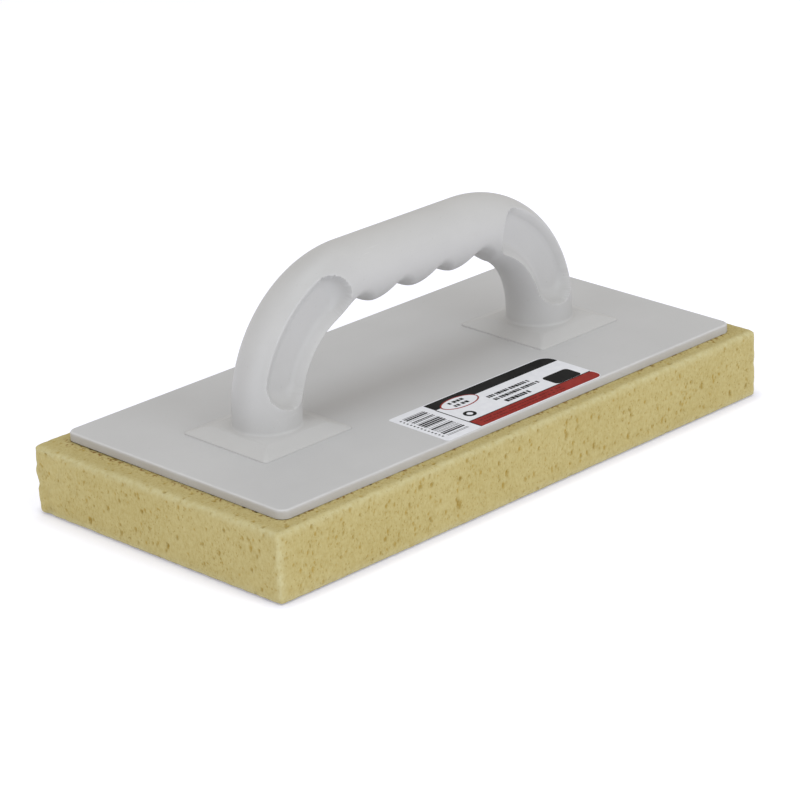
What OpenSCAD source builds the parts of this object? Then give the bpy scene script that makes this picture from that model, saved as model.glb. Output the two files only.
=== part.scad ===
// Grout float with a sponge face: a rigid plate with a D handle carries a block of
// open-cell sponge that washes cement grout out of tile joints.
// Millimetres, +Z up. The floor is z = 0 and the middle of the sponge is x = 0, y = 0.

/* [Sponge] */
// length of the sponge block along X
sponge_length = 280; // [180:1:320]
// width of the sponge block along Y
sponge_width = 140; // [100:1:180]
// thickness of the sponge block
sponge_height = 30; // [15:1:60]
// corner radius of the sponge block seen from above
sponge_corner = 1.5; // [0.5:0.5:10]

/* [Bond film] */
// thickness of the adhesive layer between sponge and plate
film_thickness = 0.3; // [0.1:0.1:1]
// how far the adhesive stops short of the plate edge
film_inset = 1.5; // [0:0.5:5]

/* [Backing plate] */
// length of the plate along X
plate_length = 263; // [170:1:310]
// width of the plate along Y
plate_width = 126; // [90:1:170]
// thickness of the plate
plate_thickness = 3.7; // [3:0.1:8]
// corner radius of the plate seen from above
plate_corner = 4.5; // [2:0.5:20]
// rounding of the plate's top edge
plate_edge = 1; // [0.5:0.1:2]

/* [Handle] */
// radius of the round grip and legs
grip_radius = 14.2; // [11:0.5:18]
// distance between the two leg axes
leg_spacing = 159; // [120:1:200]
// height of the grip's axis above the floor
grip_height = 88.1; // [75:0.1:110]
// bend radius of the tube's axis at both ends of the grip
bend_radius = 46; // [30:1:55]
// side of the square foot under each leg
foot_size = 48; // [40:1:60]
// upright edge around each foot
foot_edge = 0.6; // [0.4:0.1:2]
// rise of the sloping foot from its edge to the leg
foot_rise = 2.8; // [1:0.1:6]
// fillet between leg and foot
leg_fillet = 1; // [1:0.5:4]

/* [Finger grooves] */
// number of finger grooves under the grip
groove_count = 4; // [3:1:4]
// distance between neighbouring grooves
groove_pitch = 23; // [18:0.5:26]
// middle of the row of grooves along X
groove_centre = 0; // [-10:0.5:10]
// depth of a groove below the ridges
groove_depth = 3.4; // [1:0.1:4]
// radius of a ridge between two grooves
ridge_radius = 7; // [1:0.5:8]
// height above the grip's axis of the line that the grooves are turned round
groove_lift = 2.5; // [0:0.5:6]

/* [Side recesses] */
// depth of the dished recess in each side of a bend
recess_depth = 4; // [1:0.5:6]
// half width of a recess across the tube
recess_half_width = 9.5; // [6:0.5:12]
// how far the recess's middle line lies outside the tube's middle line
recess_offset = 1; // [-2:0.5:3]
// angle round the bend where a recess starts above the leg
recess_start_angle = 22; // [10:1:30]
// angle round the bend where a recess ends near the grip
recess_end_angle = 62; // [50:1:80]
// small step where a recess's round ends leave its swept middle
recess_step = 0.2; // [0.1:0.1:1]

/* [Screws] */
// distance between the two screws of one leg
screw_spacing = 14; // [10:1:18]
// shank radius of a self-tapping screw
screw_radius = 2; // [1.5:0.1:3]
// head radius of a screw
screw_head_radius = 4; // [3:0.1:5]
// length of a screw below its head
screw_length = 16; // [10:1:30]

/* [Label] */
// size of the label along X
label_length = 92.5; // [60:0.5:120]
// size of the label along Y
label_width = 33.6; // [20:0.1:50]
// thickness of the label film
label_thickness = 0.1; // [0.05:0.01:0.3]
// middle of the label along X
label_x = 5.2; // [-40:0.1:40]
// middle of the label along Y
label_y = -45.5; // [-60:0.1:-30]

/* [Hidden] */
$fn = 96;
skin = 0.02;
film_z = sponge_height;
plate_z = film_z + film_thickness;
deck_z = plate_z + plate_thickness;
leg_x = leg_spacing / 2;
bend_x = leg_x - bend_radius;
bend_z = grip_height - bend_radius;
foot_top = deck_z + foot_edge + foot_rise;
underside_z = grip_height - grip_radius;
groove_radius = (pow(groove_pitch / 2, 2) + pow(groove_depth, 2)) / (2 * groove_depth) - ridge_radius;
groove_reach = ridge_radius + groove_radius;
ridge_share = ridge_radius / groove_reach;
dish_radius = (pow(recess_half_width, 2) + pow(recess_depth, 2)) / (2 * recess_depth);
dish_centre = sqrt(pow(grip_radius, 2) - pow(recess_half_width, 2)) - recess_depth + dish_radius;
head_height = 2.2;
bore_depth = screw_length + 2;

// Rectangle with rounded corners, centred on the origin.
module rounded_rectangle(length, width, radius) {
    square([length - 2 * radius, width], center = true);
    square([length, width - 2 * radius], center = true);
    for (x = [-1, 1], y = [-1, 1])
        translate([x * (length / 2 - radius), y * (width / 2 - radius)]) circle(radius);
}

// Upright slab with rounded corners, standing on z = 0.
module rounded_slab(length, width, height, radius) {
    linear_extrude(height) rounded_rectangle(length, width, radius);
}

// Places its children at the two legs.
module at_legs() {
    for (side = [-1, 1]) translate([side * leg_x, 0, 0]) children();
}

// Places its children at the four screw axes.
module at_screws() {
    at_legs() for (side = [-1, 1]) translate([side * screw_spacing / 2, 0, 0]) children();
}

// Bar along one top edge of the plate, used to round the edge.
module edge_bar(length, offset) {
    translate([-length / 2, offset, deck_z - plate_edge]) rotate([0, 90, 0])
        cylinder(h = length, r = plate_edge);
}

// Quarter of the rounded rim at one corner of the plate.
module corner_rim() {
    rotate_extrude(angle = 90) {
        square([plate_corner, plate_thickness - plate_edge]);
        square([plate_corner - plate_edge, plate_thickness]);
        translate([plate_corner - plate_edge, plate_thickness - plate_edge]) circle(plate_edge);
    }
}

// Plate body: straight slabs, four rounded corners and round bars along the top edges.
module plate_body() {
    straight_x = plate_length - 2 * plate_corner;
    straight_y = plate_width - 2 * plate_corner;
    translate([0, 0, plate_z]) {
        linear_extrude(plate_thickness) {
            square([straight_x, plate_width - 2 * plate_edge], center = true);
            square([plate_length - 2 * plate_edge, straight_y], center = true);
        }
        linear_extrude(plate_thickness - plate_edge) {
            square([straight_x, plate_width], center = true);
            square([plate_length, straight_y], center = true);
        }
        for (turn = [0, 180]) rotate([0, 0, turn]) {
            translate([straight_x / 2, straight_y / 2, 0]) corner_rim();
            translate([-straight_x / 2, straight_y / 2, 0]) rotate([0, 0, 90]) corner_rim();
        }
    }
    for (side = [-1, 1]) edge_bar(straight_x, side * (plate_width / 2 - plate_edge));
    rotate([0, 0, 90])
        for (side = [-1, 1]) edge_bar(straight_y, side * (plate_length / 2 - plate_edge));
}

// Sloping pyramid foot with an upright edge and its top cut level with the leg.
module foot() {
    half = foot_size / 2;
    top = grip_radius + leg_fillet + 1;
    outline = [[-half, deck_z], [half, deck_z], [half, deck_z + foot_edge],
               [top, foot_top], [-top, foot_top], [-half, deck_z + foot_edge]];
    intersection() {
        translate([0, half, 0]) rotate([90, 0, 0]) linear_extrude(foot_size) polygon(outline);
        rotate([0, 0, 90]) translate([0, half, 0]) rotate([90, 0, 0])
            linear_extrude(foot_size) polygon(outline);
    }
}

// Cove that blends a leg into its foot.
module leg_cove() {
    translate([0, 0, foot_top]) rotate_extrude() difference() {
        square([grip_radius + leg_fillet, leg_fillet]);
        translate([grip_radius + leg_fillet, leg_fillet]) circle(leg_fillet);
    }
}

// Round bend at the +X end of the grip, in the XZ plane.
module bend() {
    translate([bend_x, 0, bend_z]) rotate([90, 0, 0])
        rotate_extrude(angle = 90) translate([bend_radius, 0]) circle(grip_radius);
}

// Waved ring round a line above the grip's axis: it reaches the tube only from below,
// and leaves finger grooves with rounded ridges between them.
module groove_cutter() {
    first = groove_centre - (groove_count - 1) / 2 * groove_pitch;
    drop = groove_reach - groove_depth;
    ridge_r = grip_radius + groove_lift - ridge_radius;
    translate([0, 0, grip_height + groove_lift]) rotate([0, 90, 0]) rotate_extrude()
        difference() {
            union() {
                for (i = [0 : groove_count - 1])
                    translate([ridge_r + drop, first + i * groove_pitch]) circle(groove_radius);
                for (i = [1 : groove_count - 1])
                    translate([ridge_r + ridge_share * drop + ridge_radius / 2, first + (i - 0.5) * groove_pitch])
                        square([ridge_radius, ridge_share * groove_pitch], center = true);
            }
            for (i = [1 : groove_count - 1])
                translate([ridge_r, first + (i - 0.5) * groove_pitch]) circle(ridge_radius);
        }
}

// Swept middle of the dished recess in the -Y side of the +X bend.
module recess_channel() {
    translate([bend_x, 0, bend_z]) rotate([90, 0, 0]) rotate([0, 0, recess_start_angle])
        rotate_extrude(angle = recess_end_angle - recess_start_angle)
            translate([bend_radius + recess_offset, dish_centre]) circle(dish_radius);
}

// Round ends of the same recess.
module recess_ends() {
    translate([bend_x, 0, bend_z]) rotate([90, 0, 0])
        for (angle = [recess_start_angle, recess_end_angle]) rotate([0, 0, angle])
            translate([bend_radius + recess_offset, 0, dish_centre]) sphere(dish_radius - recess_step);
}

// Places its children in all four bend sides.
module at_bend_sides() {
    for (x = [0, 1], y = [0, 1]) mirror([x, 0, 0]) mirror([0, y, 0]) children();
}

// The D shape: straight grip, two bends and two legs of one round section.
module handle_tube() {
    translate([-bend_x, 0, grip_height]) rotate([0, 90, 0]) cylinder(h = 2 * bend_x, r = grip_radius);
    for (side = [0, 1]) mirror([side, 0, 0]) bend();
    at_legs() translate([0, 0, deck_z]) cylinder(h = bend_z - deck_z, r = grip_radius);
}

module sponge_pad() {
    color("khaki") rounded_slab(sponge_length, sponge_width, sponge_height, sponge_corner);
}

module bond_film() {
    color("tan") translate([0, 0, film_z])
        rounded_slab(plate_length - 2 * film_inset, plate_width - 2 * film_inset, film_thickness,
                     plate_corner - film_inset);
}

module backing_plate() {
    color("gainsboro") difference() {
        plate_body();
        at_screws() {
            translate([0, 0, plate_z - 1]) cylinder(h = 1 + head_height, r = screw_head_radius + 0.1);
            translate([0, 0, plate_z]) cylinder(h = plate_thickness + 1, r = screw_radius + 0.2);
        }
    }
}

module handle() {
    color("whitesmoke") difference() {
        difference() {
            union() {
                handle_tube();
                at_legs() { foot(); leg_cove(); }
            }
            groove_cutter();
            at_bend_sides() recess_channel();
            at_screws() translate([0, 0, deck_z - 1]) cylinder(h = bore_depth + 1, r = screw_radius + skin);
        }
        at_bend_sides() recess_ends();
    }
}

module fixing_screws() {
    color("silver") at_screws() translate([0, 0, plate_z]) {
        difference() {
            cylinder(h = head_height, r = screw_head_radius);
            for (turn = [0, 90]) rotate([0, 0, turn])
                translate([-2.2, -0.4, -1]) cube([4.4, 0.8, 2.2]);
        }
        translate([0, 0, head_height]) cylinder(h = screw_length - 2, r = screw_radius);
        translate([0, 0, head_height + screw_length - 2])
            cylinder(h = 2, r1 = screw_radius, r2 = 0.4);
    }
}

module label() {
    color("white") translate([label_x, label_y, deck_z])
        rounded_slab(label_length, label_width, label_thickness, 3);
}

sponge_pad();
bond_film();
backing_plate();
handle();
fixing_screws();
label();
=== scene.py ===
# %% [markdown]
# # A sponge float for washing grout
# This float is a block of yellow sponge under a flat plastic plate, with a D handle on top. The
# imported model gives every piece its place, so the first step loads it.

# %% Load the imported model
import math

import bmesh
import bpy
import numpy as np
from mathutils import Matrix, Vector, kdtree, noise


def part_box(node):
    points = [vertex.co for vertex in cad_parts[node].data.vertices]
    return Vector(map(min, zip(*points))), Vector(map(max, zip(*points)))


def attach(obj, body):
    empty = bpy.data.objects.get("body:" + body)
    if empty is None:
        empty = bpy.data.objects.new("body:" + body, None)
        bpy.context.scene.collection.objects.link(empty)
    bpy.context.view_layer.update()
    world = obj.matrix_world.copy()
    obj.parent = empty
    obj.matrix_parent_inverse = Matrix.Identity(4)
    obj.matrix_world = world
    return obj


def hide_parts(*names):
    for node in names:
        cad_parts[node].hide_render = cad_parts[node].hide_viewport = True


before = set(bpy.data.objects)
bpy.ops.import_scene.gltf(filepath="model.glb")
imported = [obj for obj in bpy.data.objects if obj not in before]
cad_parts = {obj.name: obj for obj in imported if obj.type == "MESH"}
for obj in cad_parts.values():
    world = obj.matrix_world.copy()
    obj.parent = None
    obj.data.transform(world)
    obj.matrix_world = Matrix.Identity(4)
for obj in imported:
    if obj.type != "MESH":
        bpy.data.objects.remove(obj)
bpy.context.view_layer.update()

MM = 0.001
print("nodes:", sorted(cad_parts))

# %% [markdown]
# Operators act on whatever is selected, so each step starts from nothing selected. These small
# helpers do that, and hand a finished piece over: its place is put into its mesh, it rides on the
# float's one body, and it takes the place of the plain solid it stands for.

# %% Helpers for selecting and handing over pieces
def only(*pieces):
    if bpy.context.mode != "OBJECT":
        bpy.ops.object.mode_set(mode="OBJECT")
    bpy.ops.object.select_all(action="DESELECT")
    for piece in pieces:
        piece.select_set(True)
    bpy.context.view_layer.objects.active = pieces[-1] if pieces else None


def choose(piece, test, kind="verts"):
    """Selects the edit-mode elements whose test is true and nothing else."""
    mesh = bmesh.from_edit_mesh(piece.data)
    bpy.ops.mesh.select_mode(type={"verts": "VERT", "edges": "EDGE", "faces": "FACE"}[kind])
    bpy.ops.mesh.select_all(action="DESELECT")
    mesh = bmesh.from_edit_mesh(piece.data)
    for element in getattr(mesh, kind):
        if test(element):
            element.select_set(True)
    mesh.select_flush_mode()
    bmesh.update_edit_mesh(piece.data)


def apply_modifier(piece, kind, **settings):
    only(piece)
    modifier = piece.modifiers.new(kind.lower(), kind)
    for name, value in settings.items():
        setattr(modifier, name, value)
    bpy.ops.object.modifier_apply(modifier=modifier.name)


def tidy_mesh(piece, angle=None):
    """Merges doubles, turns faces outwards and sets smooth shading."""
    only(piece)
    bpy.ops.object.transform_apply(location=True, rotation=True, scale=True)
    bpy.ops.object.mode_set(mode="EDIT")
    bpy.ops.mesh.select_all(action="SELECT")
    bpy.ops.mesh.remove_doubles(threshold=0.000002)
    bpy.ops.mesh.normals_make_consistent(inside=False)
    bpy.ops.object.mode_set(mode="OBJECT")
    if angle is None:
        bpy.ops.object.shade_smooth()
    else:
        bpy.ops.object.shade_smooth_by_angle(angle=math.radians(angle))


def hand_over(piece, name, stands_for=()):
    piece.name = piece.data.name = name
    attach(piece, "root")
    if stands_for:
        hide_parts(*stands_for)
    size = [round(v / MM, 1) for v in piece.dimensions]
    print(name, "is", size, "mm with", len(piece.data.polygons), "faces")


# %% [markdown]
# The camera stands low over the near left corner and looks along the float with a long lens, so
# the edges hardly converge. It is turned about its own axis by two degrees.

# %% Camera
CAMERA_SPOT = Vector((-0.9307, -0.9422, 0.5508))
CAMERA_AIM = Vector((-0.0007, 0.0049, 0.0218))
CAMERA_ROLL = math.radians(-2.12)

camera_data = bpy.data.cameras.new("camera")
camera_data.lens = 155.25
camera_data.sensor_width = 36
camera = bpy.data.objects.new("camera", camera_data)
bpy.context.scene.collection.objects.link(camera)
facing = (CAMERA_AIM - CAMERA_SPOT).to_track_quat("-Z", "Y").to_matrix().to_4x4()
roll = Matrix.Rotation(CAMERA_ROLL, 4, "Z")
camera.matrix_world = Matrix.Translation(CAMERA_SPOT) @ facing @ roll
bpy.context.scene.camera = camera
print("camera at", [round(v, 3) for v in CAMERA_SPOT])

# %% [markdown]
# The studio is a white tent: soft light comes from all round. Two low softboxes, one past the left
# end and one along the near side, light the upright faces, and two weaker ones shine from above.
# The tent's light is a little warm and the softboxes are a little cool, so plain white looks
# neutral in full light and turns slightly warm in the shade.

# %% Studio
bpy.context.scene.view_settings.view_transform = "Standard"
world = bpy.data.worlds.new("white_tent")
bpy.context.scene.world = world
world.use_nodes = True
world.node_tree.nodes["Background"].inputs["Color"].default_value = (1.0, 0.968, 0.93, 1)
world.node_tree.nodes["Background"].inputs["Strength"].default_value = 0.69


def soft_lamp(name, spot, size, power, colour=(1, 1, 1)):
    lamp = bpy.data.lights.new(name, "AREA")
    lamp.shape = "SQUARE"
    lamp.size = size
    lamp.energy = power
    lamp.color = colour
    holder = bpy.data.objects.new(name, lamp)
    bpy.context.scene.collection.objects.link(holder)
    holder.location = spot
    holder.rotation_euler = (-Vector(spot)).to_track_quat("-Z", "Y").to_euler()


COOL = (0.865, 0.926, 1.0)
soft_lamp("end_softbox", (-1.55, 0, 0.41), 0.9, 5.7, (0.84, 0.905, 1.0))
soft_lamp("side_softbox", (0, -1.55, 0.41), 0.9, 8.0, COOL)
soft_lamp("near_softbox", (0, -1.03, 1.23), 0.9, 1.4, COOL)
soft_lamp("top_softbox", (0, 0.02, 1.6), 0.7, 5.5, COOL)
print("lamps:", [lamp.name for lamp in bpy.data.lights])

# %% [markdown]
# Materials share a few effects, so each effect is a node group: it takes a position and gives out
# a mask or a height that changes over the surface. `node` makes a node, sets its plain values and
# links the rest.

# %% Node helpers
def node(tree, kind, links=None, **settings):
    made = tree.nodes.new(kind)
    for name, value in settings.items():
        setattr(made, name, value)
    for name, value in (links or {}).items():
        socket = made.inputs[name]
        if isinstance(value, bpy.types.NodeSocket):
            tree.links.new(value, socket)
        else:
            socket.default_value = value
    return made


def math_node(tree, operation, a, b=0.0):
    return node(tree, "ShaderNodeMath", {0: a, 1: b}, operation=operation).outputs[0]


def remap(tree, value, low, high, to_low=0.0, to_high=1.0, smooth=False):
    return node(tree, "ShaderNodeMapRange", {"Value": value, "From Min": low, "From Max": high,
                "To Min": to_low, "To Max": to_high},
                interpolation_type="SMOOTHSTEP" if smooth else "LINEAR").outputs["Result"]


def blend(tree, share, first, second):
    mix = node(tree, "ShaderNodeMix", {"Factor": share}, data_type="RGBA")
    for index, value in ((6, first), (7, second)):
        if isinstance(value, bpy.types.NodeSocket):
            tree.links.new(value, mix.inputs[index])
        else:
            mix.inputs[index].default_value = (*value, 1)
    return mix.outputs[2]


def tinted(tree, colour, mask, strength, tint):
    """The colour with a tint laid over it where the mask is."""
    return blend(tree, math_node(tree, "MULTIPLY", mask, strength), colour, tint)


def cloud_noise(tree, vector, scale, detail=2.0, roughness=0.5):
    return node(tree, "ShaderNodeTexNoise", {"Vector": vector, "Scale": scale, "Detail": detail,
                "Roughness": roughness}).outputs["Fac"]


def placed(tree, scale=(1, 1, 1)):
    """Object coordinates, stretched by a Mapping node."""
    coordinates = node(tree, "ShaderNodeTexCoord").outputs["Object"]
    return node(tree, "ShaderNodeMapping",
                {"Vector": coordinates, "Scale": scale}).outputs["Vector"]


def new_group(name, inputs, outputs):
    tree = bpy.data.node_groups.new(name, "ShaderNodeTree")
    for label, kind, value in inputs:
        socket = tree.interface.new_socket(label, in_out="INPUT", socket_type=kind)
        if value is not None:
            socket.default_value = value
    for label, kind in outputs:
        tree.interface.new_socket(label, in_out="OUTPUT", socket_type=kind)
    return tree, tree.nodes.new("NodeGroupInput"), tree.nodes.new("NodeGroupOutput")


def use_group(tree, group, links):
    return node(tree, "ShaderNodeGroup", links, node_tree=group)


def new_material(name):
    material = bpy.data.materials.new(name)
    material.use_nodes = True
    tree = material.node_tree
    tree.nodes.clear()
    shader = node(tree, "ShaderNodeBsdfPrincipled")
    output = node(tree, "ShaderNodeOutputMaterial")
    tree.links.new(shader.outputs["BSDF"], output.inputs["Surface"])
    return material, tree, shader


def set_bump(tree, shader, height, strength, distance):
    bump = node(tree, "ShaderNodeBump",
                {"Height": height, "Strength": strength, "Distance": distance})
    tree.links.new(bump.outputs["Normal"], shader.inputs["Normal"])


# %% [markdown]
# Three effects are used more than once. Mottling is broad, soft unevenness of tone. Grain is the
# fine texture that a spark-eroded mould leaves on plastic. Scuffs are short faint scratches from
# packing and handling.

# %% Shared effects
MOTTLING, start, end = new_group(
    "mottling", [("Vector", "NodeSocketVector", None), ("Size", "NodeSocketFloat", 30.0)],
    [("Mask", "NodeSocketFloat")])
broad = cloud_noise(MOTTLING, start.outputs["Vector"], start.outputs["Size"], 4.0, 0.55)
MOTTLING.links.new(remap(MOTTLING, broad, 0.32, 0.68, smooth=True), end.inputs["Mask"])

GRAIN, start, end = new_group(
    "mould_grain", [("Vector", "NodeSocketVector", None), ("Size", "NodeSocketFloat", 2500.0)],
    [("Height", "NodeSocketFloat")])
fine = cloud_noise(GRAIN, start.outputs["Vector"], start.outputs["Size"], 3.0, 0.6)
pits = node(GRAIN, "ShaderNodeTexVoronoi", {"Vector": start.outputs["Vector"],
            "Scale": math_node(GRAIN, "MULTIPLY", start.outputs["Size"], 0.45)})
pitted = math_node(GRAIN, "MULTIPLY", pits.outputs["Distance"], 0.35)
GRAIN.links.new(math_node(GRAIN, "ADD", fine, pitted), end.inputs["Height"])

SCUFFS, start, end = new_group(
    "scuffs", [("Vector", "NodeSocketVector", None), ("Size", "NodeSocketFloat", 60.0)],
    [("Mask", "NodeSocketFloat")])
drawn_out = node(SCUFFS, "ShaderNodeMapping", {"Vector": start.outputs["Vector"],
                 "Scale": (1, 14, 14), "Rotation": (0.3, 0.2, 0.6)}).outputs["Vector"]
streaks = cloud_noise(SCUFFS, drawn_out, start.outputs["Size"], 2.0, 0.7)
patches = cloud_noise(SCUFFS, start.outputs["Vector"],
                      math_node(SCUFFS, "MULTIPLY", start.outputs["Size"], 0.3))
scuffed = math_node(SCUFFS, "MULTIPLY", remap(SCUFFS, streaks, 0.64, 0.72),
                    remap(SCUFFS, patches, 0.5, 0.62, smooth=True))
SCUFFS.links.new(scuffed, end.inputs["Mask"])
print("effects:", [tree.name for tree in bpy.data.node_groups])

# %% [markdown]
# The sponge is a sawn block of open-cell foam. A real block is never quite square: its sides
# wander by half a millimetre, its edges crumble, and cut pores of half a millimetre to two leave
# hollows, stretched upwards because the foam rose that way. A cube is bevelled and remeshed into
# even squares, and the hollows are then pushed into it.

# %% Sponge: an evenly meshed block
sponge_low, sponge_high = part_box("sponge_pad")
sponge_middle, sponge_size = (sponge_low + sponge_high) / 2, sponge_high - sponge_low
CELL, SPONGE_EDGE = 0.0010, 0.0019

only()
bpy.ops.mesh.primitive_cube_add(size=1, location=sponge_middle, scale=sponge_size)
sponge = bpy.context.object
bpy.ops.object.transform_apply(location=True, rotation=True, scale=True)
bpy.ops.object.mode_set(mode="EDIT")
bpy.ops.mesh.select_all(action="SELECT")
bpy.ops.mesh.bevel(offset=SPONGE_EDGE, segments=4, affect="EDGES")
bpy.ops.object.mode_set(mode="OBJECT")
apply_modifier(sponge, "REMESH", mode="VOXEL", voxel_size=CELL)
print("sponge has", len(sponge.data.polygons), "even faces")

# %% [markdown]
# Only the four sides and the narrow rim on top are seen closely, so these faces are divided once
# more. The working face underneath and the part under the plate keep the coarser squares.

# %% Sponge: finer squares where it is seen
plate_low, plate_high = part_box("backing_plate")
RIM_HIDDEN, BASE_HIDDEN = 0.004, 0.0012


def is_seen(face):
    spot = face.calc_center_median()
    under_plate = (plate_low.x + RIM_HIDDEN < spot.x < plate_high.x - RIM_HIDDEN
                   and plate_low.y + RIM_HIDDEN < spot.y < plate_high.y - RIM_HIDDEN)
    return spot.z > BASE_HIDDEN and not under_plate


only(sponge)
bpy.ops.object.mode_set(mode="EDIT")
choose(sponge, is_seen, "faces")
bpy.ops.mesh.subdivide(number_cuts=1)
bpy.ops.object.mode_set(mode="OBJECT")
print("sponge now has", len(sponge.data.polygons), "faces")

# %% [markdown]
# Each vertex gets three measures: how near an edge of the block it is, which way is out there, and
# how near it is to the plate's outline. Numpy works on all the vertices at once.

# %% Sponge: measures at each vertex
count = len(sponge.data.vertices)
spots = np.empty(count * 3)
sponge.data.vertices.foreach_get("co", spots)
spots = spots.reshape(-1, 3)
half = np.array(sponge_size) / 2
inside = half - np.abs(spots - np.array(sponge_middle))
from_edge = np.sort(inside, axis=1)[:, 1]

outward = np.empty(count * 3)
sponge.data.vertices.foreach_get("normal", outward)
outward = outward.reshape(-1, 3)

plate_half = np.array((plate_high - plate_low) / 2)[:2]
PLATE_CORNER = 0.0045
past = np.abs(spots[:, :2]) - (plate_half - PLATE_CORNER)
from_plate = (np.linalg.norm(np.maximum(past, 0), axis=1)
              + np.minimum(past.max(axis=1), 0) - PLATE_CORNER)
print("vertices:", count, "on the rim:", int((from_plate > 0).sum()))

# %% [markdown]
# The pores are drawn at random from a fixed seed, so the block is the same each time. A pore is a
# soft bowl with an oval mouth: on the sides it is taller than wide. Its depth at each vertex is
# also kept as an attribute, which the material uses to paint shade into the hollows.

# %% Sponge: pores
random = np.random.default_rng(37)
PORES_PER_SQUARE_METRE = 80000
PORE_WIDTH, PORE_SPREAD, WIDEST_PORE, FULLY_SHADED_PORE = 0.00035, 0.40, 0.00090, 0.00050
TALLEST, LONGEST, SHALLOWEST, DEEPEST = 2.2, 1.6, 0.4, 1.4
finder = kdtree.KDTree(count)
for index, spot in enumerate(spots):
    finder.insert(spot, index)
finder.balance()

pore_depth = np.zeros(count)
pore_shade = np.zeros(count)
pore_count = 0
for axis in range(3):
    across = [a for a in range(3) if a != axis]
    area = sponge_size[across[0]] * sponge_size[across[1]]
    for side in (-1, 1):
        for _ in range(int(area * PORES_PER_SQUARE_METRE)):
            centre = np.array(sponge_middle)
            centre[axis] += side * half[axis]
            for a in across:
                centre[a] += random.uniform(-half[a], half[a])
            width = min(PORE_WIDTH * math.exp(random.normal(0, PORE_SPREAD)), WIDEST_PORE)
            tall = random.uniform(1.0, TALLEST)
            reach = np.array([width, width, width * (tall if axis < 2 else 1.0)])
            if axis == 2:
                reach[random.integers(0, 2)] *= random.uniform(1.0, LONGEST)
            depth = width * random.uniform(SHALLOWEST, DEEPEST)
            ragged = random.uniform(0, 50, 3)
            pore_count += 1
            for spot, index, _d in finder.find_range(centre, float(reach.max()) * 1.5):
                away = (np.array(spot) - centre) / reach
                q = away @ away * (1 + 0.6 * noise.noise(Vector(spot) * 1500 + Vector(ragged)))
                if q < 1.9:
                    bowl = math.exp(-1.6 * q * q)
                    pore_depth[index] = max(pore_depth[index], depth * bowl)
                    pore_shade[index] = max(pore_shade[index], bowl * min(1.0, width / FULLY_SHADED_PORE))
print("pores:", pore_count, "deepest", round(pore_depth.max() / MM, 2), "mm")

# %% [markdown]
# Then the whole surface wanders: broad waves, crumbly edges, and a lean at the left end, whose far
# corner stands about four millimetres proud of the CAD block. The other moves go inwards, except
# round the plate, where the foam is raised a little to close the gap below it.

# %% Sponge: wander, crumbled edges and lean
WAVE, CRUMB, END_WAVE, SQUEEZE = 0.00034, 0.00055, 0.0016, 0.00042
LEAN, STRETCH, END_SPRING = 0.0021, 0.0042, 0.0006
EDGE_BAND, EDGE_HIGHLIGHT_BAND, FLECK_BAND = 0.0016, 0.0024, 0.0016
end_face = sponge_low.x + 0.0025
moves = np.zeros(count)
for index, spot in enumerate(spots):
    here = Vector(spot)
    broad_wave = noise.noise(here * 38) * 0.5 + 0.5
    fine_wave = noise.fractal(here * 420, 0.9, 2.1, 3) * 0.5 + 0.5
    near_edge = math.exp(-(from_edge[index] / EDGE_BAND) ** 2)
    crumble = near_edge * max(0, noise.noise(here * 300) + 0.2)
    at_end = max(0, end_face - spot[0]) / 0.0025 * max(0.1, spot[1] / half[1]) ** 2
    end_wave = at_end * max(0, noise.noise(here * 190) * 1.6 + 0.25)
    moves[index] = WAVE * broad_wave + 0.00014 * fine_wave + CRUMB * crumble + END_WAVE * end_wave
moves[spots[:, 2] < 0.0011] *= 0.35
moved = spots - outward * (moves + pore_depth)[:, None]
squeezed = np.exp(-(from_plate / 0.0017) ** 2) * (spots[:, 2] > sponge_high.z - 0.0002)
moved[:, 2] += SQUEEZE * squeezed

height_share = 1 - np.clip((spots[:, 2] - sponge_low.z) / sponge_size.z, 0, 1)
left_share = np.clip((-spots[:, 0] - 0.115) / 0.025, 0, 1) ** 2
back_share = np.clip(spots[:, 1] / half[1] * 0.5 + 0.5, 0, 1)
moved[:, 0] += left_share * (back_share * (LEAN * height_share - STRETCH) - END_SPRING)
moved[:, 2] = np.maximum(moved[:, 2], sponge_low.z)
sponge.data.vertices.foreach_set("co", moved.ravel())

# Painted highlight: a paler band along the block's edges, standing for light that scatters through
# the thin foam there.
edge_highlight = np.exp(-(from_edge / EDGE_HIGHLIGHT_BAND) ** 2)
# Partly dried adhesive and partly painted shade: darker brown flecks on the top rim right beside the
# plate's edge.
fleck_share_near_plate = np.exp(-(np.maximum(from_plate, 0) / FLECK_BAND) ** 2) * (spots[:, 2] > 0.028)
for name, values in (("pore", pore_shade), ("edge", edge_highlight), ("glue_and_shade", fleck_share_near_plate)):
    attribute = sponge.data.attributes.new(name, "FLOAT", "POINT")
    attribute.data.foreach_set("value", values.astype(np.float32))
tidy_mesh(sponge)
print("sponge attributes:", [a.name for a in sponge.data.attributes])

# %% [markdown]
# The foam is pale straw yellow with soft patches of a deeper tone. Hollows are painted ochre as
# shade, because light is lost in them; cut edges get a paler painted highlight; and darker brown
# flecks on the rim beside the plate are partly dried adhesive and partly painted shade under the
# plate's edge. Pores too small to model come from stretched Voronoi cells painted dark as shade,
# and a fine noise makes the walls between them paler and darker.

# %% Sponge material
sponge_material, tree, shader = new_material("sponge_foam")
position = placed(tree)
stretched = placed(tree, scale=(1, 1, 0.6))
soft_tone = use_group(tree, MOTTLING, {"Vector": position, "Size": 45.0}).outputs["Mask"]
patch_tone = use_group(tree, MOTTLING, {"Vector": position, "Size": 240.0}).outputs["Mask"]
colour = blend(tree, soft_tone, (0.440, 0.364, 0.154), (0.466, 0.391, 0.175))
colour = tinted(tree, colour, patch_tone, 0.3, (0.400, 0.318, 0.118))

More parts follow.
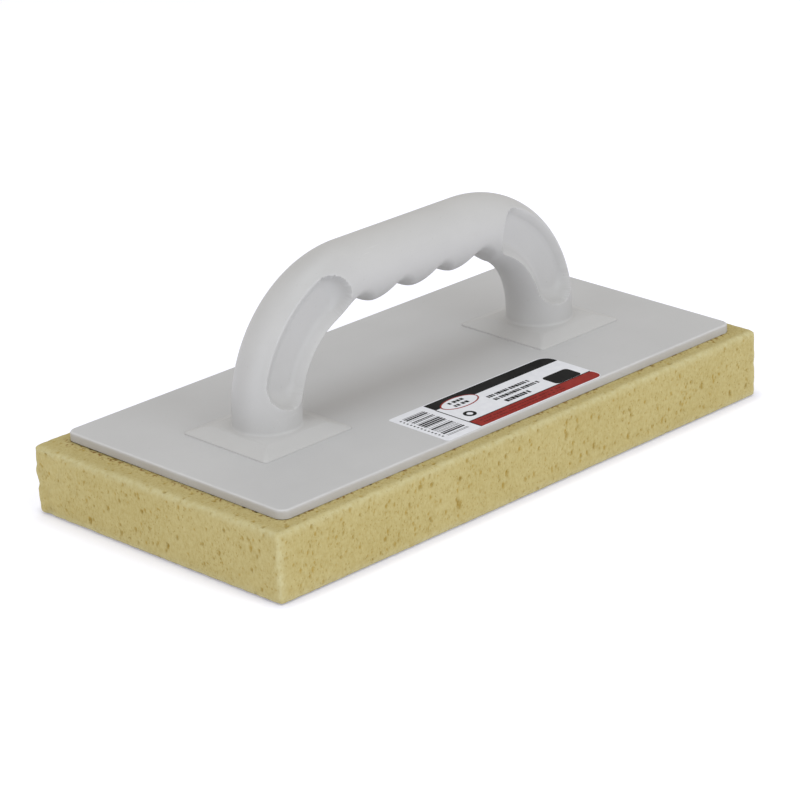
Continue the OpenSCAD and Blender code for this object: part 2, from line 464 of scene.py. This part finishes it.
crumb_tone = cloud_noise(tree, stretched, 900.0, 3.0, 0.7)
colour = blend(tree, remap(tree, crumb_tone, 0.50, 0.72, 0.0, 0.4), colour, (0.530, 0.475, 0.250))
colour = blend(tree, remap(tree, crumb_tone, 0.50, 0.30, 0.0, 0.4), colour, (0.335, 0.250, 0.075))


def foam_cells(size, lowest_chance):
    """Small open cells: some Voronoi cells, picked by chance, are painted dark in the middle as
    shade.
    """
    cells = node(tree, "ShaderNodeTexVoronoi", {"Vector": stretched, "Scale": size})
    chance = node(tree, "ShaderNodeSeparateColor", {"Color": cells.outputs["Color"]})
    hollow = remap(tree, cells.outputs["Distance"], 0.42, 0.12, smooth=True)
    return math_node(tree, "MULTIPLY", hollow,
                     remap(tree, chance.outputs["Red"], lowest_chance, 1.0))


# Painted shade in pores too small to model; the same cells also dent the bump further down.
small_pore = foam_cells(1150.0, 0.30)
colour = tinted(tree, colour, small_pore, 0.75, (0.315, 0.220, 0.050))
# Painted shade in the modelled pore hollows.
pore = node(tree, "ShaderNodeAttribute", attribute_name="pore").outputs["Fac"]
colour = tinted(tree, colour, pore, 0.80, (0.350, 0.232, 0.040))

# Painted highlight along the block's edges, broken up by noise.
edge = node(tree, "ShaderNodeAttribute", attribute_name="edge").outputs["Fac"]
crumbs = cloud_noise(tree, position, 420.0, 3.0)
pale = math_node(tree, "MULTIPLY", edge, remap(tree, crumbs, 0.3, 0.6, 0.3, 1.0))
colour = tinted(tree, colour, pale, 0.62, (0.560, 0.525, 0.310))

# Darker brown flecks beside the plate: partly dried adhesive, partly painted shade under the plate's
# edge.
glue_and_shade = node(tree, "ShaderNodeAttribute", attribute_name="glue_and_shade").outputs["Fac"]
flecks = cloud_noise(tree, position, 560.0)
glue_and_shade_flecks = math_node(tree, "MULTIPLY", glue_and_shade, remap(tree, flecks, 0.54, 0.64))
colour = blend(tree, glue_and_shade_flecks, colour, (0.230, 0.130, 0.035))
tree.links.new(colour, shader.inputs["Base Color"])

walls = cloud_noise(tree, stretched, 1600.0, 4.0, 0.65)
tree.links.new(remap(tree, walls, 0.3, 0.7, 0.86, 0.98), shader.inputs["Roughness"])
height = math_node(tree, "SUBTRACT", walls, math_node(tree, "MULTIPLY", small_pore, 0.8))
set_bump(tree, shader, height, 0.5, 0.0003)
shader.inputs["Specular IOR Level"].default_value = 0.15
sponge.data.materials.append(sponge_material)
hand_over(sponge, "sponge_block", ["sponge_pad"])

# %% [markdown]
# The handle is one moulding. Its round bar can be made as by hand: a circle is extruded up the
# leg, spun through the bend, extruded along the grip, spun again and brought down. Small even
# steps give the later shaping enough vertices to work with.

# %% Handle: sizes
handle_low, handle_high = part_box("handle")
BAR_RADIUS, BEND_RADIUS, FOOT_SIDE = 0.0142, 0.046, 0.048
deck = handle_low.z
leg_x = handle_high.x - FOOT_SIDE / 2
grip_z = handle_high.z - BAR_RADIUS
bend_x, bend_z = leg_x - BEND_RADIUS, grip_z - BEND_RADIUS
FOOT_EDGE, FOOT_RISE, FILLET = 0.0006, 0.0028, 0.0010
foot_top = deck + FOOT_EDGE + FOOT_RISE
STEP, SIDES = 0.0005, 180
print("grip axis", round(grip_z / MM, 1), "mm up, legs at", round(leg_x / MM, 1), "mm")


# %% [markdown]
# One ring of vertices is the start. `extrude_by` draws it out along a straight in equal steps, and
# spin carries it round each bend about the bend's centre.

# %% Handle: extrude and spin the bar
def extrude_by(way, length):
    steps = max(1, round(length / STEP))
    for _ in range(steps):
        bpy.ops.mesh.extrude_region_move(
            TRANSFORM_OT_translate={"value": Vector(way) * (length / steps)})


SUNK = 0.0003
bar_start = deck + SUNK
only()
bpy.ops.mesh.primitive_circle_add(vertices=SIDES, radius=BAR_RADIUS,
                                  location=(leg_x, 0, bar_start))
bar = bpy.context.object
bpy.ops.object.transform_apply(location=True, rotation=True, scale=True)
bpy.ops.object.mode_set(mode="EDIT")
bpy.ops.mesh.select_mode(type="VERT")
bpy.ops.mesh.select_all(action="SELECT")
quarter = math.pi / 2
bend_steps = round(BEND_RADIUS * quarter / STEP)
extrude_by((0, 0, 1), bend_z - bar_start)
bpy.ops.mesh.spin(steps=bend_steps, angle=quarter, center=(bend_x, 0, bend_z), axis=(0, 1, 0))
extrude_by((-1, 0, 0), 2 * bend_x)
bpy.ops.mesh.spin(steps=bend_steps, angle=quarter, center=(-bend_x, 0, bend_z), axis=(0, 1, 0))
extrude_by((0, 0, -1), bend_z - bar_start)
bpy.ops.object.mode_set(mode="OBJECT")
bar_box = [round(v / MM, 1) for v in bar.dimensions]
print("bar is", bar_box, "mm with", len(bar.data.polygons), "faces")

# %% [markdown]
# The finger grooves, the four side recesses and the fillet at each foot are cut by arithmetic.
# Each is a distance field: the distance from any point to that shape's surface. A smooth maximum
# of the fields leaves the rims rounded, as a mould maker would.

# %% Handle: distance fields
GROOVE_PITCH, GROOVE_DEPTH, GROOVE_LIFT = 0.023, 0.0047, 0.011
GROOVE_SHIFT, GROOVE_FULLNESS, GROOVE_EXIT = -0.0012, 0.7, 2.25
GROOVE_EDGE, RECESS_EDGE, RIM_HIGHLIGHT_BAND = 0.0010, 0.0008, 0.0006
RECESS_HALF, RECESS_FLOOR, RECESS_CORNER, RECESS_OUT = 0.0106, 0.0071, 0.006, 0.001
RECESS_FROM, RECESS_TO = math.radians(19), math.radians(63.5)


def smooth_max(a, b, width):
    share = np.clip(0.5 + 0.5 * (a - b) / width, 0, 1)
    return b + (a - b) * share + width * share * (1 - share)


def bar_axis(points):
    """The nearest point on the bar's middle line."""
    x, z = np.abs(points[:, 0]), points[:, 2]
    turn = np.clip(np.arctan2(z - bend_z, x - bend_x), 0, math.pi / 2)
    on_leg, on_grip = z < bend_z, x < bend_x
    axis_x = np.where(on_leg, leg_x, np.where(on_grip, x, bend_x + BEND_RADIUS * np.cos(turn)))
    axis_z = np.where(on_leg, z, np.where(on_grip, grip_z, bend_z + BEND_RADIUS * np.sin(turn)))
    return np.stack([axis_x * np.sign(points[:, 0]), 0 * x, axis_z], axis=1)


def handle_field(points):
    """Below zero inside the handle's bar and above zero outside; also how near a recess's rim, where
    a paler line of painted highlight and rubbing goes.
    """
    x, y, z = np.abs(points[:, 0]), np.abs(points[:, 1]), points[:, 2]
    above = np.clip(z - foot_top, 0, FILLET)
    flare = FILLET - np.sqrt(np.maximum(FILLET ** 2 - (FILLET - above) ** 2, 0))
    field = np.linalg.norm(points - bar_axis(points), axis=1) - BAR_RADIUS - flare
    turn = np.clip(np.arctan2(z - bend_z, x - bend_x), RECESS_FROM, RECESS_TO)
    ring = BEND_RADIUS + RECESS_OUT
    across = np.hypot(x - bend_x - ring * np.cos(turn), z - bend_z - ring * np.sin(turn))
    past_wall = across - RECESS_HALF + RECESS_CORNER
    past_floor = RECESS_FLOOR + RECESS_CORNER - y
    recess = (np.hypot(np.maximum(past_wall, 0), np.maximum(past_floor, 0))
              + np.minimum(np.maximum(past_wall, past_floor), 0) - RECESS_CORNER)
    rim = np.exp(-(field / RIM_HIGHLIGHT_BAND) ** 2 - (recess / RIM_HIGHLIGHT_BAND) ** 2)
    field = smooth_max(field, -recess, RECESS_EDGE)
    along = np.abs(points[:, 0] - GROOVE_SHIFT) / GROOVE_PITCH
    wave = (0.5 - 0.5 * np.cos(2 * math.pi * along)) ** GROOVE_FULLNESS
    wave = np.where(along > 1.5, 1 - (GROOVE_EXIT * (along - 1.5)) ** 2, wave)
    groove = np.hypot(y, z - grip_z - GROOVE_LIFT) - BAR_RADIUS - GROOVE_LIFT + GROOVE_DEPTH * wave
    return np.where(z > bend_z, smooth_max(field, groove, GROOVE_EDGE), field), rim


# %% [markdown]
# Each vertex looks along its own radius from the bar's middle line. Halving the range 24 times
# finds where the field changes sign, which is where the vertex belongs.

# %% Handle: slide each vertex to the shaped surface
points = np.empty(len(bar.data.vertices) * 3)
bar.data.vertices.foreach_get("co", points)
points = points.reshape(-1, 3)
centres = bar_axis(points)
ways = (points - centres) / np.linalg.norm(points - centres, axis=1)[:, None]
LEAST_RADIUS, MOST_RADIUS, HALVINGS = 0.003, 0.020, 24
near, far = np.full(len(points), LEAST_RADIUS), np.full(len(points), MOST_RADIUS)
for _ in range(HALVINGS):
    middle = (near + far) / 2
    outside = handle_field(centres + ways * middle[:, None])[0] > 0
    near, far = np.where(outside, near, middle), np.where(outside, middle, far)
shaped = centres + ways * near[:, None]
bar.data.vertices.foreach_set("co", shaped.ravel())
# The rim attribute marks where the material paints a highlight, with some rubbing, round each
# recess.
rim = bar.data.attributes.new("rim", "FLOAT", "POINT")
rim.data.foreach_set("value", handle_field(shaped)[1].astype(np.float32))
bar.data.update()
print("bar radius from", round(near.min() / MM, 2), "to", round(near.max() / MM, 2), "mm")

# %% [markdown]
# Each leg stands on a square foot with sloping sides. A cube gives the thin upright edge. Its
# corners are bevelled round, its top face is extruded and scaled for the slope, and the slopes are
# divided so that shading stays even. A Boolean union joins bar and feet into one closed solid.

# %% Handle: feet
only(bar)
bpy.ops.object.mode_set(mode="EDIT")
bpy.ops.mesh.select_all(action="SELECT")
bpy.ops.mesh.fill_holes(sides=0)
bpy.ops.object.mode_set(mode="OBJECT")
tidy_mesh(bar)

SLOPE_TOP = 2 * (BAR_RADIUS + FILLET + 0.0010)
FOOT_CORNER, FOOT_SOFTENING = 0.0018, 0.0004
feet = []
for side in (-1, 1):
    only()
    bpy.ops.mesh.primitive_cube_add(size=1, location=(side * leg_x, 0, deck + FOOT_EDGE / 2),
                                    scale=(FOOT_SIDE, FOOT_SIDE, FOOT_EDGE))
    foot = bpy.context.object
    bpy.ops.object.transform_apply(location=True, rotation=True, scale=True)
    bpy.ops.object.mode_set(mode="EDIT")
    choose(foot, lambda edge: abs(edge.verts[0].co.z - edge.verts[1].co.z) > FOOT_EDGE / 2,
           "edges")
    bpy.ops.mesh.bevel(offset=FOOT_CORNER, segments=5, affect="EDGES")
    choose(foot, lambda face: face.normal.z > 0.9, "faces")
    bpy.ops.mesh.extrude_region_move(TRANSFORM_OT_translate={"value": (0, 0, FOOT_RISE)})
    shrink = SLOPE_TOP / FOOT_SIDE
    bpy.ops.transform.resize(value=(shrink, shrink, 1),
                             center_override=(side * leg_x, 0, foot_top))
    rim_z = deck + FOOT_EDGE
    choose(foot, lambda edge: all(abs(v.co.z - rim_z) < 0.0001 for v in edge.verts), "edges")
    bpy.ops.mesh.bevel(offset=FOOT_SOFTENING, segments=3, affect="EDGES")
    choose(foot, lambda face: 0.5 < face.normal.z < 0.99 and face.calc_area() > 0.00001, "faces")
    bpy.ops.mesh.subdivide(number_cuts=9)
    bpy.ops.object.mode_set(mode="OBJECT")
    feet.append(foot)

for foot in feet:
    apply_modifier(bar, "BOOLEAN", operation="UNION", solver="EXACT", object=foot)
    bpy.data.objects.remove(foot)
tidy_mesh(bar, 50)
print("handle has", len(bar.data.polygons), "faces")

# %% [markdown]
# Handle and plate are modelled as the same off-white plastic, taken to be styrene, with the handle
# the glossier of the two. The tone drifts a little and fine mould grain breaks the gloss. Masks
# make the edges a little paler: partly rubbing and partly painted highlight on the handle's recess
# rims, and painted highlight on the plate's top edge. They also paint the plate's side darker and
# warmer as shade.

# %% Plastic materials
RUBBED_AND_HIGHLIGHT, DUST, SIDE_SHADE = (0.63, 0.62, 0.605), (0.30, 0.28, 0.25), (0.425, 0.405, 0.375)


def moulded_plastic(name, dark, light, grain_size, rough, edge_wear_and_highlight, side_shade_mask=None):
    material, tree, shader = new_material(name)
    position = placed(tree)
    tone = use_group(tree, MOTTLING, {"Vector": position, "Size": 22.0}).outputs["Mask"]
    colour = blend(tree, tone, dark, light)
    scuff = use_group(tree, SCUFFS, {"Vector": position, "Size": 70.0}).outputs["Mask"]
    colour = tinted(tree, colour, scuff, 0.25, (0.62, 0.61, 0.60))
    dust = remap(tree, cloud_noise(tree, position, 900.0), 0.68, 0.80, 0.0, 0.25)
    colour = blend(tree, dust, colour, DUST)
    uneven = remap(tree, cloud_noise(tree, position, 130.0), 0.3, 0.6, 0.45, 1.0)
    # Paler edges: painted highlight, and on the handle's recess rims also rubbing.
    wear_and_highlight = math_node(tree, "MULTIPLY", edge_wear_and_highlight(tree), uneven)
    colour = tinted(tree, colour, wear_and_highlight, 0.4, RUBBED_AND_HIGHLIGHT)
    # Painted shade: the plate's upright side is made darker and warmer.
    if side_shade_mask:
        colour = blend(tree, side_shade_mask(tree), colour, SIDE_SHADE)
    tree.links.new(colour, shader.inputs["Base Color"])
    grain = use_group(tree, GRAIN, {"Vector": position, "Size": grain_size}).outputs["Height"]
    gloss = math_node(tree, "ADD", remap(tree, tone, 0.0, 1.0, rough, rough + 0.06),
                      math_node(tree, "MULTIPLY", scuff, 0.15))
    tree.links.new(gloss, shader.inputs["Roughness"])
    sink = cloud_noise(tree, position, 30.0, 1.0)
    height = math_node(tree, "ADD", math_node(tree, "MULTIPLY", grain, 0.05), sink)
    set_bump(tree, shader, height, 0.35, 0.0004)
    shader.inputs["Specular IOR Level"].default_value = 0.4
    return material


def recess_rim_wear_and_highlight(tree):
    """The paler line round each recess, partly painted highlight and partly rubbing, from the
    attribute that the shaping step made.
    """
    return node(tree, "ShaderNodeAttribute", attribute_name="rim").outputs["Fac"]


def from_outline(tree, half_x, half_y, corner):
    """How far a point is outside a round-cornered rectangle; below zero inside, near its edge."""
    spot = node(tree, "ShaderNodeSeparateXYZ", {"Vector": placed(tree)})
    squares = []
    for axis, half_side in (("X", half_x), ("Y", half_y)):
        past = math_node(tree, "SUBTRACT", math_node(tree, "ABSOLUTE", spot.outputs[axis]),
                         half_side - corner)
        squares.append(math_node(tree, "POWER", math_node(tree, "MAXIMUM", past, 0.0), 2.0))
    reach = math_node(tree, "SQRT", math_node(tree, "ADD", squares[0], squares[1]))
    return math_node(tree, "SUBTRACT", reach, corner)


def plate_side_shade(tree):
    """The plate's narrow upright side, painted darker and warmer as shade."""
    nearest = from_outline(tree, plate_high.x, plate_high.y, PLATE_CORNER)
    shade_breakup = cloud_noise(tree, placed(tree), 60.0, 3.0)
    return math_node(tree, "MULTIPLY", remap(tree, nearest, -0.0004, -0.00005, smooth=True),
                     remap(tree, shade_breakup, 0.3, 0.7, 0.55, 1.0))


def plate_rim_highlight(tree):
    """The painted highlight along the plate's top edge, from how near a point is to the outline."""
    nearest = from_outline(tree, plate_high.x, plate_high.y, PLATE_CORNER)
    inner = remap(tree, nearest, -0.0013, -0.0007, smooth=True)
    outer = remap(tree, nearest, -0.00005, -0.0003, smooth=True)
    return math_node(tree, "MULTIPLY", inner, outer)


handle_plastic = moulded_plastic("handle_styrene", (0.461, 0.456, 0.447), (0.491, 0.485, 0.475),
                                 1800.0, 0.42, recess_rim_wear_and_highlight)
plate_plastic = moulded_plastic("plate_styrene", (0.471, 0.469, 0.466), (0.495, 0.493, 0.490),
                                2600.0, 0.46, plate_rim_highlight, plate_side_shade)
bar.data.materials.append(handle_plastic)
hand_over(bar, "handle_moulding", ["handle"])
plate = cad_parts["backing_plate"]
plate.data.materials.clear()
plate.data.materials.append(plate_plastic)
print("plate keeps", len(plate.data.polygons), "CAD faces")

# %% [markdown]
# The adhesive and the screws are inside the float. They keep their CAD shapes and get their own
# finishes: cloudy amber rubber, and zinc-plated steel with fine turning lines.

# %% Adhesive and screw materials
adhesive, tree, shader = new_material("dried_adhesive")
position = placed(tree)
cloud = use_group(tree, MOTTLING, {"Vector": position, "Size": 180.0}).outputs["Mask"]
tree.links.new(blend(tree, cloud, (0.20, 0.12, 0.035), (0.34, 0.22, 0.08)),
               shader.inputs["Base Color"])
tree.links.new(remap(tree, cloud, 0.0, 1.0, 0.35, 0.6), shader.inputs["Roughness"])
set_bump(tree, shader, cloud, 0.5, 0.0002)

zinc, tree, shader = new_material("zinc_steel")
position = placed(tree)
turned = cloud_noise(tree, placed(tree, scale=(1, 1, 30)), 300.0)
bloom = use_group(tree, MOTTLING, {"Vector": position, "Size": 400.0}).outputs["Mask"]
tree.links.new(blend(tree, bloom, (0.50, 0.50, 0.49), (0.62, 0.62, 0.60)),
               shader.inputs["Base Color"])
tree.links.new(remap(tree, turned, 0.3, 0.7, 0.25, 0.45), shader.inputs["Roughness"])
set_bump(tree, shader, turned, 0.3, 0.0001)
shader.inputs["Metallic"].default_value = 1.0

for name, material in (("bond_film", adhesive), ("fixing_screws", zinc)):
    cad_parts[name].data.materials.clear()
    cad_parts[name].data.materials.append(material)

# %% [markdown]
# The sticker is a thin white film near one long edge. Its print is modelled as very thin patches
# of ink on the film: a black band, a red band, an oval, a bar code, and short dashes where lines
# of small type would be. The dashes say nothing, and the badge is a plain lozenge.

# %% Sticker: film and ink helpers
label_low, label_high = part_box("label")
film_top = label_high.z
INK = 0.00002


def patch(x0, y0, x1, y1, lift=INK, base=None, corners=()):
    """A thin flat patch from (x0, y0) to (x1, y1) in millimetres, with some corners rounded."""
    base = film_top if base is None else base
    only()
    middle = ((x0 + x1) / 2 * MM, (y0 + y1) / 2 * MM, base)
    bpy.ops.mesh.primitive_plane_add(size=1, location=middle)
    piece = bpy.context.object
    piece.scale = (abs(x1 - x0) * MM, abs(y1 - y0) * MM, 1)
    bpy.ops.object.transform_apply(location=True, rotation=True, scale=True)
    bpy.ops.object.mode_set(mode="EDIT")
    for right, upper, radius in corners:
        corner = Vector(((x1 if right else x0) * MM, (y1 if upper else y0) * MM, base))
        choose(piece, lambda v: (v.co - corner).length < 0.0001)
        bpy.ops.mesh.bevel(offset=radius * MM, segments=8, affect="VERTICES")
    bpy.ops.mesh.select_all(action="SELECT")
    bpy.ops.mesh.extrude_region_move(TRANSFORM_OT_translate={"value": (0, 0, lift)})
    bpy.ops.object.mode_set(mode="OBJECT")
    return piece


def disc(x, y, half_length, half_width, lift=INK, hole=0.0):
    """A thin oval patch; hole is the share of it left open in the middle."""
    only()
    bpy.ops.mesh.primitive_circle_add(vertices=64, radius=1, fill_type="NGON",
                                      location=(x * MM, y * MM, film_top))
    piece = bpy.context.object
    piece.scale = (half_length * MM, half_width * MM, 1)
    bpy.ops.object.transform_apply(location=True, rotation=True, scale=True)
    bpy.ops.object.mode_set(mode="EDIT")
    bpy.ops.mesh.select_all(action="SELECT")
    if hole:
        bpy.ops.mesh.inset(thickness=(1 - hole) * half_width * MM)
        bpy.ops.mesh.delete(type="FACE")
        bpy.ops.mesh.select_all(action="SELECT")
    bpy.ops.mesh.extrude_region_move(TRANSFORM_OT_translate={"value": (0, 0, lift)})
    bpy.ops.object.mode_set(mode="OBJECT")
    return piece


def joined(pieces, name, material):
    only(*pieces)
    if len(pieces) > 1:
        bpy.ops.object.join()
    piece = bpy.context.object
    tidy_mesh(piece, 30)
    piece.data.materials.clear()
    piece.data.materials.append(material)
    hand_over(piece, name)


# %% [markdown]
# Printed film is glossy but never flat: it shows faint waves where it bridges the mould grain.
# The inks share that surface and differ in colour.

# %% Sticker materials
def printed(name, first, second, rough):
    material, tree, shader = new_material(name)
    position = placed(tree)
    tone = use_group(tree, MOTTLING, {"Vector": position, "Size": 320.0}).outputs["Mask"]
    tree.links.new(blend(tree, tone, first, second), shader.inputs["Base Color"])
    ripple = cloud_noise(tree, position, 160.0)
    tree.links.new(remap(tree, ripple, 0.3, 0.7, rough, rough + 0.08), shader.inputs["Roughness"])
    set_bump(tree, shader, ripple, 0.25, 0.0002)
    shader.inputs["Specular IOR Level"].default_value = 0.07
    return material


film_white = printed("film_white", (0.700, 0.705, 0.735), (0.740, 0.745, 0.770), 0.45)
ink_black = printed("ink_black", (0.006, 0.006, 0.006), (0.011, 0.011, 0.010), 0.50)
ink_red = printed("ink_red", (0.245, 0.021, 0.016), (0.285, 0.028, 0.021), 0.50)
ink_dark_red = printed("ink_dark_red", (0.130, 0.012, 0.010), (0.160, 0.018, 0.014), 0.50)

# %% [markdown]
# The film is one patch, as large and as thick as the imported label, with the rounder corners at its
# right end. It takes the label's place, and the inks lie on it.

# %% Sticker: film
film = patch(label_low.x / MM, label_low.y / MM, label_high.x / MM, label_high.y / MM,
             lift=film_top - label_low.z, base=label_low.z,
             corners=((False, False, 1.5), (True, False, 4.5), (True, True, 5.5),
                      (False, True, 1.5)))
tidy_mesh(film, 30)
film.data.materials.append(film_white)
hand_over(film, "label_film", ["label"])

# %% [markdown]
# Lines of type are stood in for by rows of dashes. `dashes` fills a row with short strokes of
# uneven length, the way words look from a distance, and a fixed seed keeps them the same.

# %% Sticker: print
strokes = np.random.default_rng(11)


def dashes(x0, x1, y, height, shortest, longest, gap):
    row, x = [], x0
    while x < x1 - shortest:
        length = min(strokes.uniform(shortest, longest), x1 - x)
        row.append(patch(x, y - height / 2, x + length, y + height / 2))
        x += length + (gap if strokes.random() < 0.78 else 2.6 * gap)
    return row


black = [patch(-21.3, -36.2, 51.2, -29.3, corners=((True, True, 5.2),)),
         patch(-21.6, -61.8, -21.0, -36.2),
         patch(-21.0, -55.0, 50.8, -54.4),
         patch(31.5, -54.3, 46.5, -45.0, lift=2.5 * INK, corners=(
               (False, False, 1.8), (False, True, 1.8), (True, False, 1.8), (True, True, 1.8))),
         disc(-14.7, -48.9, 2.8, 2.8, hole=0.50)]
black += dashes(2.5, 26.5, -42.4, 2.2, 0.8, 1.6, 0.35)
black += dashes(2.5, 28.5, -46.2, 2.2, 0.8, 1.6, 0.35)
black += dashes(4.5, 19.5, -50.7, 2.6, 1.0, 1.9, 0.32)
red = [patch(-21.0, -61.8, 51.0, -55.0, corners=((True, False, 3.5), (True, True, 1.2)))]
oval_ring = [disc(-8.5, -37.2, 10.0, 5.3, lift=2 * INK, hole=0.88)]
oval_field = [disc(-8.5, -37.2, 9.7, 5.0, lift=1.6 * INK)]
oval_type = []
for y in (-35.5, -39.0):
    for stroke in dashes(-13.2, -4.0, y, 1.9, 1.1, 1.9, 0.45):
        stroke.location.z += 1.6 * INK
        oval_type.append(stroke)
small_type = []
for y in (-57.2, -59.4):
    for stroke in dashes(-17.5, 30.0, y, 0.9, 0.6, 1.6, 0.5):
        stroke.location.z += INK
        small_type.append(stroke)
print("patches of ink:", len(black), "black,", len(red + oval_ring), "red")

# %% [markdown]
# The bar code is a ladder of bars. Their thicknesses and gaps are drawn at random from a few fixed
# sizes, so it encodes nothing, and small squares stand where its digits would be.

# %% Sticker: bar code
bars, y = [], -58.4
while y < -32.6:
    thick = float(strokes.choice([0.25, 0.25, 0.45, 0.70, 1.05]))
    bars.append(patch(-37.0, y, -25.0, min(y + thick, -31.9)))
    y += thick + float(strokes.choice([0.45, 0.55, 0.85, 1.20]))
digits = []
for place in range(13):
    y = -57.6 + place * 1.95
    digits.append(patch(-39.2, y, -38.3, y + 0.8))
print("bars:", len(bars), "digit squares:", len(digits))

joined(black + oval_type, "label_black_print", ink_black)
joined(red + oval_ring, "label_red_print", ink_red)
joined(oval_field, "label_oval_field", film_white)
joined(small_type, "label_small_type", ink_dark_red)
joined(bars + digits, "label_bar_code", ink_black)

# %% [markdown]
# The floor is a wide pale sheet. It glows a little, like a light table, except close round the
# float's outline, where its glow is dimmer and bluer: a painted cool line of shadow where the sponge
# meets it. It belongs to the studio and not to the float.

# %% Floor
only()
bpy.ops.mesh.primitive_plane_add(size=12, location=(0, 0, 0))
floor = bpy.context.object
floor.name = "floor"
floor_paint, tree, shader = new_material("floor_paper")
position = placed(tree)
tone = use_group(tree, MOTTLING, {"Vector": position, "Size": 3.0}).outputs["Mask"]
tree.links.new(blend(tree, tone, (0.93, 0.93, 0.95), (0.95, 0.95, 0.97)),
               shader.inputs["Base Color"])
# Painted shadow: near the float's outline the floor's glow is dimmer and bluer.
outside = from_outline(tree, sponge_high.x, sponge_high.y, 0.002)
clear_of_float = remap(tree, outside, 0.0005, 0.0050, smooth=True)
tree.links.new(blend(tree, clear_of_float, (0.26, 0.30, 0.62), (0.72, 0.76, 1.0)),
               shader.inputs["Emission Color"])
shader.inputs["Emission Strength"].default_value = 0.26
shader.inputs["Roughness"].default_value = 0.9
shader.inputs["Specular IOR Level"].default_value = 0.1
floor.data.materials.append(floor_paint)
print("floor is", [round(v, 1) for v in floor.dimensions], "m")
